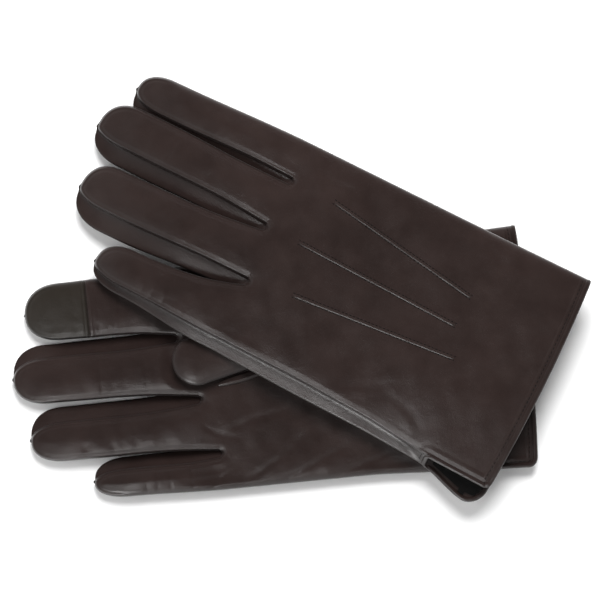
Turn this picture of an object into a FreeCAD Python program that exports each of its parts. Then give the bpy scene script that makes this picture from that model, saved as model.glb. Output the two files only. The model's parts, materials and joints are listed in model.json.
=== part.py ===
"""A pair of lined leather touchscreen gloves, laid flat one across the other.

The right glove lies palm up with its fingers along -X. The left glove lies across it, back up.
Each glove is drawn in its own frame: the cuff's middle is the origin, the fingers run along -x,
the thumb side is +y, and z is the height above the glove's underside. `reach` is the distance
from the cuff towards the fingertips, so x = -reach. All sizes are millimetres.
"""

import FreeCAD
import Part
import os
from collections import namedtuple
from FreeCAD import Rotation, Vector

# ---- driving dimensions -------------------------------------------------------------------
LEATHER = 1.0  # nappa leather
LINING = 0.7  # knitted lining
FIT = 0.1  # air between two layers
LINER_OUT = LEATHER + FIT  # how far the lining's outside lies in from the leather's outside
CAVITY = LINER_OUT + LINING  # how far the hollow for the hand lies in from the leather's outside

THICK = 10.0  # a glove laid flat
KNUCKLE = 156.0  # reach of the slits between the fingers
LEAN = 10.0  # how far the sheared glove's underside is shifted at the finger roots
SHOULDER_LEAN = 0.5  # share of LEAN left where the fingertips start to round
TIP_LEAN = 0.35  # share of LEAN left at the very tips
EDGE_LEAN = 0.5  # share of LEAN at the little finger's outer edge
HINGE_GAP = 0.4  # between the two halves of a finger at its middle knuckle

THUMB_THICK = 8.4
THUMB_PIVOT = (110.0, 24.0)  # reach and y of the thumb hole's centre
THUMB_LENGTH = 58.0  # from the hole's centre to the tip's centre
THUMB_ROOT_R = 14.0
THUMB_TIP_R = 12.5
THUMB_HOLE_R = 9.0
THUMB_GAP = 0.3  # between the thumb and the palm it lies on

VENT = 32.0  # length of the slit at the little-finger side of the cuff
VENT_SIDE = 45.0  # everything nearer the cuff than VENT and further out than this is open
CUFF_BULGE = 2.0  # how far the cuff's middle stands past its corners
BINDING = 2.2  # width of the strip sewn round the cuff's edge
BINDING_PROUD = 0.2
LABEL = (22.0, 14.0, 0.4)
LABEL_REACH = 10.0  # from the cuff to the label's near edge

POINTS = (  # the three stitched ribs on the back: reach and y of both ends
    ((133.0, 36.0), (50.0, 23.0)),
    ((140.0, 10.0), (51.0, 7.0)),
    ((131.0, -15.0), (44.0, -8.0)),
)
POINT_WIDTH = 1.8
POINT_DEPTH = 0.5  # let into the leather

GUSSET = (26.0, 3.0, 4.0)  # the quirk: a little strip beside the thumb's root
GUSSET_CLEAR = 0.8

# ---- the two gloves -----------------------------------------------------------------------
# root, shoulder: y of the thumb-side and outer edges at the slits and where the tip rounds
# shoulder_reach, tip: reach where the tip rounds; reach and y of the tip
# bend: reach of the middle knuckle; droop: degrees that the tip hangs down at rest
Finger = namedtuple("Finger", "name root shoulder shoulder_reach tip bend droop")
Glove = namedtuple("Glove", "name up turn place lean radial ulnar thumb_angle rib_proud fingers")

RIGHT = Glove(
    name="right",
    up="palm",
    turn=0.0,
    place=(0.0, 0.0, 0.0),
    lean=LEAN,
    radial=(61.0, 56.5),  # y of the thumb-side edge at the cuff and at the slits
    ulnar=(-63.0, -63.0, -59.5, -57.5),  # outer edge at reach 0, VENT, midway and KNUCKLE
    thumb_angle=15.5,
    rib_proud=0.0,
    fingers=(
        Finger("index", (56.5, 27.0), (53.0, 28.0), 236.0, (249.5, 41.0), 218.0, 0.0),
        Finger("middle", (19.5, -6.5), (18.5, -4.5), 246.0, (258.0, 9.0), 208.0, 0.0),
        Finger("ring", (-12.0, -35.5), (-14.5, -35.5), 241.0, (252.5, -24.5), 205.0, 0.0),
        Finger("pinky", (-42.5, -57.5), (-43.0, -53.5), 213.0, (223.5, -46.0), 190.0, 0.0),
    ),
)
LEFT = Glove(
    name="left",
    up="back",
    turn=-31.6,
    place=(4.6, -19.2, THICK + THUMB_THICK + 2 * THUMB_GAP),
    lean=-LEAN,
    radial=(57.0, 57.5),
    ulnar=(-59.5, -59.5, -53.0, -50.0),
    thumb_angle=15.5,
    rib_proud=0.6,
    fingers=(
        Finger("index", (57.5, 42.0), (57.0, 40.5), 237.0, (248.5, 48.5), 203.0, 22.0),
        Finger("middle", (34.0, 11.0), (34.0, 13.0), 248.0, (261.0, 24.0), 210.0, 19.0),
        Finger("ring", (8.0, -16.0), (3.0, -19.5), 243.0, (256.0, -9.0), 206.0, 20.0),
        Finger("pinky", (-20.0, -50.0), (-29.0, -49.0), 219.0, (230.5, -39.5), 193.0, 9.0),
    ),
)
GLOVES = (RIGHT, LEFT)
BIG = 400.0  # larger than anything here


# ---- outlines -----------------------------------------------------------------------------
def share_at(z):
    """How much of the lean is left at height z: all of it at the underside, none on top."""
    return 1 - z / THICK


def outer_edge(glove, z):
    """y of the hand's outer edge at reach 0, VENT, midway and KNUCKLE, at height z."""
    shift = glove.lean * EDGE_LEAN * share_at(z)
    return [y + shift for y in glove.ulnar]


def radial_y(glove, reach):
    """y of the hand's thumb-side edge, which is one straight line past both of its ends."""
    at_cuff, at_slits = glove.radial
    return at_cuff + (at_slits - at_cuff) * reach / KNUCKLE


def finger_edges(glove, finger, z):
    """y of both edges at the slits and the shoulder, and of the tip, at height z."""
    first, last = glove.fingers[0], glove.fingers[-1]
    lean = glove.lean * share_at(z)
    thumb_side = 0 if finger is first else lean
    far_side = lean * EDGE_LEAN if finger is last else lean
    root = finger.root[0] + thumb_side, finger.root[1] + far_side
    shoulder = (
        finger.shoulder[0] + thumb_side * SHOULDER_LEAN,
        finger.shoulder[1] + far_side * SHOULDER_LEAN,
    )
    return root, shoulder, finger.tip[1] + lean * TIP_LEAN


def closed_wire(points, arcs):
    """A closed wire through points; arcs maps a corner's number to a point its next edge goes through."""
    edges = []
    for i, start in enumerate(points):
        end = points[(i + 1) % len(points)]
        if i in arcs:
            edges.append(Part.Arc(start, arcs[i], end).toShape())
        else:
            edges.append(Part.LineSegment(start, end).toShape())
    return Part.Wire(edges)


def finger_wire(glove, finger, z, inset, start):
    """A finger's outline at height z, taken in by inset, from reach `start` to the tip."""
    root, shoulder, tip_y = finger_edges(glove, finger, z)
    run = finger.shoulder_reach - KNUCKLE
    near = (start - KNUCKLE) / run
    thumb_side = root[0] + (shoulder[0] - root[0]) * near - inset
    far_side = root[1] + (shoulder[1] - root[1]) * near + inset
    corners = [
        Vector(-start, thumb_side, z),
        Vector(-finger.shoulder_reach, shoulder[0] - inset, z),
        Vector(-finger.shoulder_reach, shoulder[1] + inset, z),
        Vector(-start, far_side, z),
    ]
    return closed_wire(corners, {1: Vector(-(finger.tip[0] - inset), tip_y, z)})


def hand_wire(glove, z, inset, start, end):
    """The hand's outline at height z, taken in by inset, from reach `start` to `end`."""
    ulnar = outer_edge(glove, z)
    midway = (VENT + KNUCKLE) / 2
    corners = [
        Vector(-start, radial_y(glove, start) - inset, z),
        Vector(-end, radial_y(glove, end) - inset, z),
        Vector(-end, ulnar[3] + inset, z),
        Vector(-VENT, ulnar[1] + inset, z),
        Vector(-start, ulnar[0] + inset, z),
    ]
    cuff_middle = (corners[0] + corners[4]) / 2 + Vector(CUFF_BULGE, 0, 0)
    return closed_wire(corners, {2: Vector(-midway, ulnar[2] + inset, z), 4: cuff_middle})


# ---- solids -------------------------------------------------------------------------------
def finger_solid(glove, finger, inset, start):
    heights = inset, THICK - inset
    wires = [finger_wire(glove, finger, z, inset, start) for z in heights]
    return Part.makeLoft(wires, True, True)


def hand_solid(glove, inset, start):
    heights = inset, THICK - inset
    wires = [hand_wire(glove, z, inset, start, KNUCKLE - inset) for z in heights]
    return Part.makeLoft(wires, True, True)


def slab(low, high):
    """Everything between two heights."""
    return Part.makeBox(2 * BIG, 2 * BIG, high - low, Vector(-BIG, -BIG, low))


def beyond(reach):
    """Everything further from the cuff than reach."""
    return Part.makeBox(BIG, 2 * BIG, 2 * BIG, Vector(-reach - BIG, -BIG, -BIG))


def short_fingers(glove, inset):
    """The hand with the root halves of its fingers, as one solid taken in by inset."""
    start = 0 if inset < LINER_OUT else FIT
    if inset in (LEATHER, CAVITY):
        start = -BINDING * 2  # a hollow: it runs out past the cuff
    hand = hand_solid(glove, inset, start)
    overlap = 2.0
    for finger in glove.fingers:
        whole = finger_solid(glove, finger, inset, KNUCKLE - inset - overlap)
        gap = 0 if inset in (LEATHER, CAVITY) else HINGE_GAP / 2
        hand = hand.fuse(whole.cut(beyond(finger.bend - gap)) if gap else whole)
    return hand.removeSplitter()


def fingertip(glove, finger, inset):
    """The half of a finger past its middle knuckle, hanging down by its droop."""
    overlap = 12.0
    tip = finger_solid(glove, finger, inset, finger.bend - overlap)
    tip.rotate(Vector(-finger.bend, 0, 0), Vector(0, 1, 0), -finger.droop)
    return tip


def tip_layer(glove, finger, outside, inside):
    """One closed layer of a fingertip, open at the knuckle."""
    shell = fingertip(glove, finger, outside).cut(fingertip(glove, finger, inside))
    return shell.common(beyond(finger.bend + HINGE_GAP / 2))


def palm_heights(glove, low, high):
    """Two heights measured in from the palm's outside, as heights in the glove's frame."""
    return (THICK - high, THICK - low) if glove.up == "palm" else (low, high)


def back_heights(glove, low, high):
    """Two heights measured in from the back's outside, as heights in the glove's frame."""
    return (low, high) if glove.up == "palm" else (THICK - high, THICK - low)


def thumb_hole(radius, low, high):
    reach, y = THUMB_PIVOT
    return Part.makeCylinder(radius, high - low, Vector(-reach, y, low))


def rib(glove, ends, deep, proud):
    """One stitched rib of the back, from `deep` inside the leather to `proud` outside it."""
    (reach_a, y_a), (reach_b, y_b) = ends
    start, end = Vector(-reach_a, y_a, 0), Vector(-reach_b, y_b, 0)
    side = (end - start).cross(Vector(0, 0, 1)).normalize() * (POINT_WIDTH / 2)
    low, high = back_heights(glove, -proud, deep)
    corners = [start + side, end + side, end - side, start - side]
    face = Part.Face(Part.makePolygon([*corners, corners[0]]))
    face.translate(Vector(0, 0, low))
    return face.extrude(Vector(0, 0, high - low))


def vent_gap(length):
    """The space between the two sheets, on the outer side, up to `length` from the cuff."""
    low = Vector(-length, -BIG - VENT_SIDE, CAVITY)
    return Part.makeBox(length + BIG, BIG, THICK - 2 * CAVITY, low)


def trank(glove):
    """The main leather, as its back sheet, its palm sheet and the walls between them."""
    outer = short_fingers(glove, 0)
    walls = outer.common(slab(LEATHER, THICK - LEATHER)).cut(short_fingers(glove, LEATHER))
    vent = Part.makeBox(VENT + BIG, BIG, BIG, Vector(-VENT, -BIG - VENT_SIDE, -BIG / 2))
    solids = sorted(walls.Solids, key=lambda s: s.CenterOfMass.y)
    outer_wall, forks, fold = solids[0].cut(vent), solids[1:-1], solids[-1]
    back = outer.common(slab(*back_heights(glove, 0, LEATHER)))
    for ends in POINTS:
        back = back.cut(rib(glove, ends, POINT_DEPTH, POINT_DEPTH))
    palm = outer.common(slab(*palm_heights(glove, 0, LEATHER)))
    palm = palm.cut(thumb_hole(THUMB_HOLE_R, -BIG, BIG))
    return [back, fold], [palm, outer_wall], forks


def lining(glove):
    """The knitted lining of the hand and the finger roots, open at the cuff, vent and thumb."""
    outside = short_fingers(glove, LINER_OUT)
    hollow = short_fingers(glove, CAVITY)
    low, high = palm_heights(glove, 0, THICK / 2)
    layer = outside.cut(hollow).cut(thumb_hole(THUMB_HOLE_R, low, high))
    return layer.cut(vent_gap(VENT))


def cuff_binding(glove):
    """The strip round the cuff's edge, and the two strips that edge the vent."""
    inside, outside = -BIG / 2, BINDING_PROUD
    ring = Part.makeLoft(
        [hand_wire(glove, z, -outside, -BINDING, KNUCKLE) for z in (0, THICK)], True, True
    )
    hollow = Part.makeLoft(
        [hand_wire(glove, z, CAVITY, inside, KNUCKLE) for z in (CAVITY, THICK - CAVITY)], True, True
    )
    hand = hand_solid(glove, 0, 0)
    ring = ring.cut(hand).cut(beyond(VENT)).cut(hollow)
    ring = ring.cut(vent_gap(VENT))
    strips = []
    for low in (0, THICK - CAVITY):
        ulnar = outer_edge(glove, low)
        corners = [
            Vector(0, ulnar[0], low),
            Vector(-VENT, ulnar[1], low),
            Vector(-VENT, ulnar[1] - BINDING, low),
            Vector(0, ulnar[0] - BINDING, low),
        ]
        face = Part.Face(Part.makePolygon([*corners, corners[0]]))
        strips.append(face.extrude(Vector(0, 0, CAVITY)).cut(hand).cut(ring))
    return ring, strips


def stadium(length, root_r, tip_r, low, high):
    """A tapered, round-ended block along -x from the origin."""
    ends = [Vector(0, root_r, low), Vector(-length, tip_r, low)]
    ends += [Vector(-length, -tip_r, low), Vector(0, -root_r, low)]
    around = {1: Vector(-length - tip_r, 0, low), 3: Vector(root_r, 0, low)}
    return Part.Face(closed_wire(ends, around)).extrude(Vector(0, 0, high - low))


def thumb_layer(glove, outside, inside):
    """One layer of the thumb, with the hole through which it opens into the palm."""
    blocks = [
        stadium(THUMB_LENGTH, THUMB_ROOT_R - t, THUMB_TIP_R - t, t, THUMB_THICK - t)
        for t in (outside, inside)
    ]
    shell = blocks[0].cut(blocks[1])
    above = glove.up == "palm"
    side = 0 if above else THUMB_THICK / 2
    shell = shell.cut(Part.makeCylinder(THUMB_HOLE_R, THUMB_THICK / 2, Vector(0, 0, side)))
    shell.rotate(Vector(), Vector(0, 0, 1), glove.thumb_angle)
    base = THICK + THUMB_GAP if above else -THUMB_GAP - THUMB_THICK
    shell.translate(Vector(-THUMB_PIVOT[0], THUMB_PIVOT[1], base))
    return shell


def gusset(glove):
    """The quirk on the palm, along the outer side of the thumb's root."""
    length, width, height = GUSSET
    start = -THUMB_ROOT_R - GUSSET_CLEAR
    low, high = palm_heights(glove, -height, 0)
    strip = Part.makeBox(length, width, high - low, Vector(-THUMB_LENGTH * 0.8, start - width, low))
    strip.rotate(Vector(), Vector(0, 0, 1), glove.thumb_angle)
    strip.translate(Vector(-THUMB_PIVOT[0], THUMB_PIVOT[1], 0))
    return strip


def label(glove):
    """The care label, sewn flat inside the lower side of the cuff."""
    length, width, thick = LABEL
    return Part.makeBox(length, width, thick, Vector(-LABEL_REACH - length, -width / 2, CAVITY))


def glove_nodes(glove):
    """Every node of one glove, in the glove's own frame."""
    back, palm, forks = trank(glove)
    ring, strips = cuff_binding(glove)
    nodes = {
        "trank_back": back,
        "trank_palm": palm,
        "fourchette_ring_pinky": [forks[0]],
        "fourchette_middle_ring": [forks[1]],
        "fourchette_index_middle": [forks[2]],
        "hand_lining": [lining(glove)],
        "cuff_binding": [ring],
        "vent_binding": strips,
        "care_label": [label(glove)],
        "thumb": [thumb_layer(glove, 0, LEATHER)],
        "thumb_lining": [thumb_layer(glove, LINER_OUT, CAVITY)],
        "thumb_gusset": [gusset(glove)],
    }
    for number, ends in enumerate(POINTS, 1):
        nodes[f"back_point_{number}"] = [rib(glove, ends, POINT_DEPTH, glove.rib_proud)]
    for finger in glove.fingers:
        leather = tip_layer(glove, finger, 0, LEATHER)
        if finger.name == "index":
            sheet = slab(*palm_heights(glove, 0, LEATHER))
            sheet.rotate(Vector(-finger.bend, 0, 0), Vector(0, 1, 0), -finger.droop)
            nodes["index_touch_pad"] = [leather.common(sheet)]
            leather = leather.cut(sheet)
        nodes[f"{finger.name}_tip"] = [leather]
        nodes[f"{finger.name}_tip_lining"] = [tip_layer(glove, finger, LINER_OUT, CAVITY)]
    return nodes


def to_row(glove, shape):
    """Moves a shape from the glove's frame to the pair's frame."""
    shape = shape.copy()
    shape.rotate(Vector(), Vector(0, 0, 1), glove.turn)
    shape.translate(Vector(*glove.place))
    return shape


def build():
    """All nodes of the pair, standing on z = 0 with the middle of the box over the origin."""
    nodes = {}
    for glove in GLOVES:
        for name, solids in glove_nodes(glove).items():
            found = [s for shape in solids for s in shape.Solids]
            nodes[f"{glove.name}_{name}"] = Part.makeCompound([to_row(glove, s) for s in found])
    box = Part.makeCompound(list(nodes.values())).BoundBox
    middle = Vector(-box.Center.x, -box.Center.y, -box.ZMin)
    for shape in nodes.values():
        shape.translate(middle)
    return nodes, middle


def hinge(glove, finger, middle):
    """A fingertip's hinge line on top of its knuckle: a point and the axis, in the pair's frame."""
    root, shoulder, _ = finger_edges(glove, finger, THICK)
    y = sum(root + shoulder) / 4
    point = Rotation(Vector(0, 0, 1), glove.turn).multVec(Vector(-finger.bend, y, THICK))
    axis = Rotation(Vector(0, 0, 1), glove.turn).multVec(Vector(0, 1, 0))
    return point + Vector(*glove.place) + middle, axis


def thumb_axis(glove, middle):
    """The point that a thumb swings about, in the pair's frame."""
    palm = THICK if glove.up == "palm" else 0
    point = Vector(-THUMB_PIVOT[0], THUMB_PIVOT[1], palm)
    return Rotation(Vector(0, 0, 1), glove.turn).multVec(point) + Vector(*glove.place) + middle


NODES, MIDDLE = build()
os.makedirs("parts", exist_ok=True)
for node, shape in NODES.items():
    shape.exportStep(f"parts/{node}.step")
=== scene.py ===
"""A pair of lined leather touchscreen gloves: the left one, back up, on the right one, palm up.

Every glove is drawn in its own frame, in millimetres: the cuff's middle is the origin, the fingers
run along -x, the thumb side is +y and z is the height above its underside. `reach` is the distance
from the cuff towards the fingertips. A glove has an upper and a lower sheet of leather, each cut
into four finger columns, and walls of leather that join their edges.
"""

import json
import math

import bpy
import numpy as np
from mathutils import Matrix, Vector
from mathutils.bvhtree import BVHTree


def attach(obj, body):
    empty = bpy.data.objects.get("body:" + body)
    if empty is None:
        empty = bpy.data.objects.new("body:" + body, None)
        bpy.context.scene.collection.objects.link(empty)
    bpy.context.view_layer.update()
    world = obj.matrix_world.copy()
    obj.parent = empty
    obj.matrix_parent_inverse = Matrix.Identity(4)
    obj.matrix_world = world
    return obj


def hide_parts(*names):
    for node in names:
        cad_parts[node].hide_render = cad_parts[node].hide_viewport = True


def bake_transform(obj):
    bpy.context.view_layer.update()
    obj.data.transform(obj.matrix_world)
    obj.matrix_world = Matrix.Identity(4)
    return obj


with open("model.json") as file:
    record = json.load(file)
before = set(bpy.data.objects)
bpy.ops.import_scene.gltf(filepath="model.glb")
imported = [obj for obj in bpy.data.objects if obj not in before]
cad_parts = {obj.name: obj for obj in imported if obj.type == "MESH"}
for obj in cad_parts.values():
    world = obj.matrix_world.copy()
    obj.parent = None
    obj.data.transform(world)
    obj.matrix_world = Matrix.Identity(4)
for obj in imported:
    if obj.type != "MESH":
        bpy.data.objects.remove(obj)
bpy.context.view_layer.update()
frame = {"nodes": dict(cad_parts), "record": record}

# ---- sizes, in millimetres ----
MM = 0.001
THUMB_REACH = 110.0  # where the thumb swings, in a glove's own frame
THUMB_Y = 24.0
THUMB_ANGLE = 15.5  # degrees between a thumb and the glove's middle line
THUMB_LENGTH = 58.0  # from the middle of the round root to the middle of the round tip
THUMB_GAP = 0.3  # between a thumb and the palm
THUMB_THICK = 8.4
THUMB_ROOT_R = 14.0
THUMB_TIP_R = 12.5
VENT = 34.0  # the slit at the outer side of the cuff
LEATHER_THICK = 0.9
LINING_THICK = 0.5
LINING_INSET = 1.25  # from the outside of the leather to the outside of the lining
LINING_SHORT = 2.6  # the lining stays this far from the cuff's rim
LINING_TIP_GAP = 3.2  # the lining's fingertips are drawn back this far
HAND_THICK = 10.0
CUFF_THICK = 8.6
EDGE_R = 3.4  # how far in from an edge a sheet starts to round over
EDGE_DROP = 2.7  # how far it has dropped at the edge
LOOP = 1.5  # half the width of the rounded end of a slit between two fingers
CUFF_BAND = 6.4  # the turned edge of the cuff and of the slit in it
RIM_SEAM = 3.95  # from the cuff's rim to the row of stitches beside it
THUMB_SIDE_FOLD = 2.4  # how far the fold at the hand's thumb side bulges
PAD_REACH = 219.0  # where the touch pad's seam crosses the index finger
BEND_HALF = 9.0  # half the length over which a finger bends
FAR = 99.0  # stands for a distance that is too long to matter

# ---- rows and columns of quads ----
HAND_ROWS_VENT = 32
HAND_ROWS = 84
CROTCH_ROW = HAND_ROWS_VENT + HAND_ROWS
FINGER_ROWS = 84
TIP_ROWS = 18
COLUMNS = 30
WALL_ROWS = 12


def smooth(t):
    t = np.clip(t, 0, 1)
    return t * t * (3 - 2 * t)


def bump(x, width):
    return np.exp(-((x / width) ** 2))


# ---- the two gloves ----
# radial, ulnar: (reach, y) pairs of the edge at the hand's thumb side and at its outer side.
# crotch: reach and y of the end of each slit. corner: radius of the cuff's outer corner.
# fingers: y of the thumb-side and outer edges where the tip starts to round, the reach of that
# place, and the reach and y of the very tip. bend: the reach at which each finger bends.
# bulge_*, fold_outer: how far the walls beside the fingers, and the hand's outer edge, bulge.
# droop: (reach, z) pairs of the underside. sag: how far its outer side hangs at the cuff.
GLOVES = {
    "right": dict(
        up="palm",
        turn_joint="right_middle_fold",
        upper=dict(
            corner=4.5,
            radial=[(0, 61.0), (60, 58.5), (156, 56.5), (200, 55.5)],
            ulnar=[(0, -61.5), (34, -60.0), (80, -57.6), (156, -57.8)],
            crotch=[(175, 20.5), (166, -11.5), (158, -39.5)],
            fingers=[
                (54.0, 25.2, 232, (250.5, 38.5)),
                (17.0, -6.0, 242, (259.5, 6.5)),
                (-16.0, -35.8, 236, (253.5, -25.0)),
                (-42.5, -56.6, 206, (223.5, -48.5)),
            ],
        ),
        lower=dict(
            corner=4.5,
            radial=[(0, 60.5), (60, 58.0), (156, 56.3), (200, 55.3)],
            ulnar=[(0, -57.0), (34, -56.0), (80, -52.0), (156, -50.5)],
            crotch=[(158, 29.0), (160, -3.0), (155, -31.0)],
            fingers=[
                (53.6, 31.5, 232, (250.0, 39.6)),
                (23.6, 0.5, 242, (259.0, 8.6)),
                (-8.4, -29.5, 236, (253.1, -22.9)),
                (-36.6, -51.0, 206, (223.1, -47.0)),
            ],
        ),
        bend=(218, 208, 205, 190),
        bulge_thumb_side=0.8,
        bulge_outer=2.6,
        fold_outer=2.2,
        droop=[(0, 0), (300, 0)],
        sag=0.0,
    ),
    "left": dict(
        up="back",
        turn_joint="left_middle_fold",
        upper=dict(
            corner=3.5,
            radial=[(0, 57.0), (60, 56.8), (162, 57.2), (234, 55.6)],
            ulnar=[(0, -59.7), (34, -58.4), (70, -54.2), (112, -52.0), (156, -51.0)],
            crotch=[(156, 35.6), (158, 9.4), (154, -19.0)],
            fingers=[
                (55.4, 36.6, 231, (247.0, 44.5)),
                (35.4, 13.3, 240, (257.0, 19.5)),
                (3.6, -19.0, 236, (251.5, -12.0)),
                (-30.0, -49.4, 211, (228.0, -42.5)),
            ],
        ),
        lower=dict(
            corner=11.0,
            radial=[(0, 56.5), (60, 56.5), (162, 56.8), (234, 55.0)],
            ulnar=[(0, -71.0), (12, -70.5), (34, -62.8), (70, -60.5), (112, -59.4), (156, -57.4)],
            crotch=[(172, 27.0), (168, 1.0), (162, -27.0)],
            fingers=[
                (54.8, 28.0, 231, (246.7, 42.6)),
                (27.0, 4.2, 238, (256.4, 17.0)),
                (-5.0, -29.2, 232, (251.0, -14.6)),
                (-38.5, -53.6, 209, (227.4, -44.4)),
            ],
        ),
        bend=(203, 210, 206, 193),
        bulge_thumb_side=0.4,
        bulge_outer=1.2,
        fold_outer=2.4,
        droop=[(0, 0), (182, 0), (206, -3.2), (235, -11.0), (262, -17.5), (300, -24.0)],
        sag=3.6,
    ),
}
FINGERS = ("index", "middle", "ring", "pinky")
# The two ends, as (reach, y), of each raised point on the back of the hand.
POINTS = (((133, 36), (50, 23)), ((140, 10), (51, 7)), ((131, -15), (44, -8)))


# ---- the frame of each glove ----
def glove_matrix(side):
    """From a glove's own frame, in millimetres, to the row frame, in metres."""
    joints = {j["name"]: j for j in frame["record"]["behaviour"]["joints"]}
    across = Vector(joints[GLOVES[side]["turn_joint"]]["axis"])
    turn = Matrix(((across.y, across.x, 0), (-across.x, across.y, 0), (0, 0, 1)))
    palm = HAND_THICK if GLOVES[side]["up"] == "palm" else 0
    pivot = Vector(joints[f"{side}_thumb_swing"]["pos_m"])
    origin = pivot - turn @ (Vector((-THUMB_REACH, THUMB_Y, palm)) * MM)
    return Matrix.Translation(origin) @ turn.to_4x4() @ Matrix.Scale(MM, 4)


MATRIX = {side: glove_matrix(side) for side in GLOVES}


def polyline_distance(points, line):
    """The distance in plan from each point to an open polyline."""
    best = np.empty(len(points))
    start = line[:-1]
    step = line[1:] - start
    length2 = np.maximum((step**2).sum(1), 1e-12)
    chunk = 4000
    for low in range(0, len(points), chunk):
        p = points[low : low + chunk, None, :]
        t = np.clip(((p - start) * step).sum(2) / length2, 0, 1)
        gap = p - (start + t[..., None] * step)
        best[low : low + chunk] = np.sqrt((gap**2).sum(2).min(1))
    return best


def waves(x, y, seed, count, longest, shortest):
    """A smooth random field of about unit size, from a few seeded sine waves."""
    rng = np.random.default_rng(seed)
    total = np.zeros_like(x)
    for _ in range(count):
        length = longest * (shortest / longest) ** rng.random()
        angle, phase = rng.random(2) * 2 * math.pi
        total += np.sin((x * math.cos(angle) + y * math.sin(angle)) * 2 * math.pi / length + phase)
    return total / math.sqrt(count / 2)


# ---- sheets ----
def line_y(line, reach):
    """y of an edge at a reach: the line through its (reach, y) pairs, with its corners rounded."""
    reaches, ys = zip(*line)
    fine = np.linspace(reaches[0], reaches[-1], 200)
    soft = np.interp(fine, reaches, ys)
    kernel = np.hanning(31)
    kernel /= kernel.sum()
    padded = np.pad(soft, len(kernel) // 2, mode="reflect", reflect_type="odd")
    return np.interp(reach, fine, np.convolve(padded, kernel, "valid"))


def tip_arc(finger, edge_y):
    """Reach and y along a fingertip's outline, from one shoulder to the tip."""
    _, _, shoulder, (reach, y) = finger
    phi = np.linspace(0, math.pi / 2, TIP_ROWS + 1)[1:]
    fullness = 0.88
    r = shoulder + (reach - shoulder) * np.sin(phi) ** fullness
    return np.column_stack([r, y + (edge_y - y) * np.cos(phi) ** fullness])


def hand_reaches(end):
    """Reach of each row from the cuff to a slit, close together at the cuff."""
    half = HAND_ROWS_VENT // 2
    band = np.linspace(0, CUFF_BAND, half + 1)[:-1]
    vent = np.linspace(CUFF_BAND, VENT, half + 1)[:-1]
    return np.concatenate([band, vent, np.linspace(VENT, end, HAND_ROWS + 1)])


def finger_reaches(start, end):
    """Reach of each row along a finger, close together at the slit and at the touch pad's seam."""
    reach = np.linspace(start, end, 600)
    at_slit = 6 * bump(reach - start, 2.0)
    at_seam = 8 * bump(reach - PAD_REACH + 0.6, 2.2)
    weight = 1 + at_slit + at_seam
    run = np.concatenate([[0], np.cumsum((weight[1:] + weight[:-1]) / 2)])
    return np.interp(np.linspace(0, run[-1], FINGER_ROWS + 1)[1:], run, reach)


def boundary(sheet, number, outer):
    """One long edge of a finger's column, from the cuff to the tip: reach and y of each row."""
    finger = sheet["fingers"][number]
    edge_y = finger[1] if outer else finger[0]
    slit = number if outer else number - 1
    beside_slit = 0 <= slit < 3
    if beside_slit:
        start = sheet["crotch"][slit]
        reach = hand_reaches(start[0])
        cuff_y = cuff_share(sheet, slit)
        y = cuff_y + (start[1] - cuff_y) * reach / start[0]
    else:
        side = sheet["crotch"][-1 if outer else 0][0]
        reach = hand_reaches(side)
        y = line_y(sheet["ulnar" if outer else "radial"], reach)
        start = (side, y[-1])
    rows = [np.column_stack([reach, y])]
    reach = finger_reaches(start[0], finger[2])
    t = (reach - start[0]) / (finger[2] - start[0])
    if beside_slit:
        near = np.clip((reach - start[0]) / LOOP, 0, 1)
        loop = LOOP * np.sqrt(1 - (1 - near) ** 2) * (1 - smooth((t - 0.25) / 0.6))
        y = start[1] + (edge_y - start[1]) * np.sin(t * math.pi / 2) ** 0.9
        y = y + (loop if outer else -loop)
    else:
        y = start[1] + (edge_y - start[1]) * smooth(t)
    rows.append(np.column_stack([reach, y]))
    rows.append(tip_arc(finger, edge_y))
    return np.concatenate(rows)


def cuff_share(sheet, slit):
    """y at the cuff of the line that a slit would follow if it ran on to the cuff."""
    top, bottom = sheet["radial"][0][1], sheet["ulnar"][0][1]
    reach = sheet["crotch"][slit][0]
    high, low = line_y(sheet["radial"], reach), line_y(sheet["ulnar"], reach)
    share = (high - sheet["crotch"][slit][1]) / (high - low)
    return top + (bottom - top) * share


def round_corner(plan, sheet):
    """Rounds the cuff's outer corner: a square patch there becomes a quarter disc."""
    radius = sheet["corner"]
    edge = line_y(sheet["ulnar"], plan[..., 0])
    p = 1 - plan[..., 0] / radius
    q = 1 - (plan[..., 1] - edge) / radius
    here = (p > 0) & (q > 0)
    p, q = np.where(here, p, 0), np.where(here, q, 0)
    round_p, round_q = p * np.sqrt(1 - q**2 / 2), q * np.sqrt(1 - p**2 / 2)
    reach = np.where(here, radius * (1 - round_p), plan[..., 0])
    return np.stack([reach, np.where(here, edge + radius * (1 - round_q), plan[..., 1])], -1)


def sheet_plan(sheet):
    """Reach and y of every vertex, as four grids, then the outline, then the cuff's open edge."""
    across = (1 - np.cos(np.linspace(0, math.pi, COLUMNS + 1))) / 2
    across = 0.65 * across + 0.35 * np.linspace(0, 1, COLUMNS + 1)
    columns, outline = [], []
    for number in range(4):
        a, b = boundary(sheet, number, False), boundary(sheet, number, True)
        column = a[:, None] * (1 - across[:, None]) + b[:, None] * across[:, None]
        if number == 3:
            column = round_corner(column, sheet)
        columns.append(column)
        first = 0 if number == 0 else CROTCH_ROW
        last = 0 if number == 3 else CROTCH_ROW
        outline.append(column[first:, 0])
        outline.append(column[last:, -1][::-1])
    rim = [column[0] for column in columns] + [columns[3][: HAND_ROWS_VENT + 1, -1]]
    return columns, np.concatenate(outline), np.concatenate(rim)


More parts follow.
